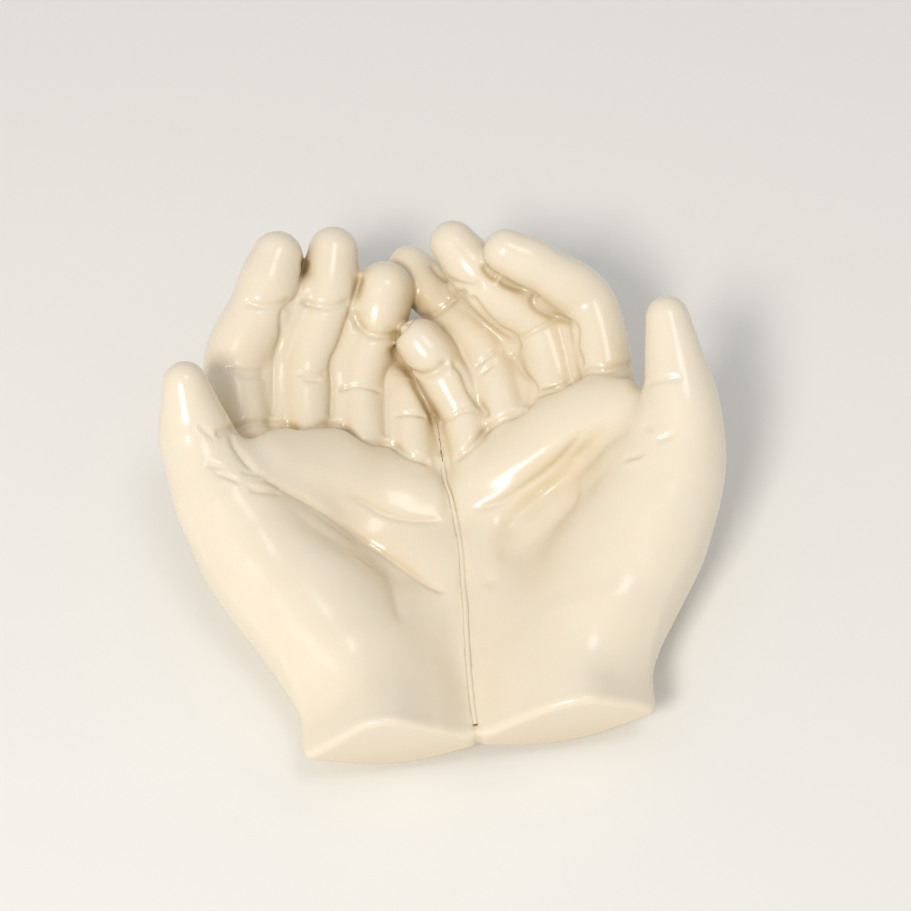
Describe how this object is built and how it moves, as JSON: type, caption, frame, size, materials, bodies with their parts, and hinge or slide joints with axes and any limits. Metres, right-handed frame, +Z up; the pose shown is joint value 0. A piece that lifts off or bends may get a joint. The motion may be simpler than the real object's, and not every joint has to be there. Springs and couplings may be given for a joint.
{
  "type": "cupped hands dish ornament",
  "caption": "Glazed ceramic ornament of two cupped hands joined side by side, palms up, whose palms and curled fingers form a shallow dish for small things.",
  "frame": {"origin": "under the middle of the bounding box of the finished dish, on the surface that it stands on", "axes": "+Z up, -Y towards the wrists (the front), +Y towards the fingertips, -X towards the left hand's thumb"},
  "size_m": [0.2022, 0.2026, 0.0823],
  "materials": {
    "glazed_ceramic": "glossy ivory glaze",
    "felt": "pressed wool felt"
  },
  "bodies": {
    "root": {"left_hand": "glazed_ceramic", "right_hand": "glazed_ceramic", "slip_joint": "glazed_ceramic", "wrist_end_slab": "glazed_ceramic", "felt_pad_front_left": "felt", "felt_pad_front_right": "felt", "felt_pad_rear_left": "felt", "felt_pad_rear_right": "felt"}
  },
  "joints": []
}
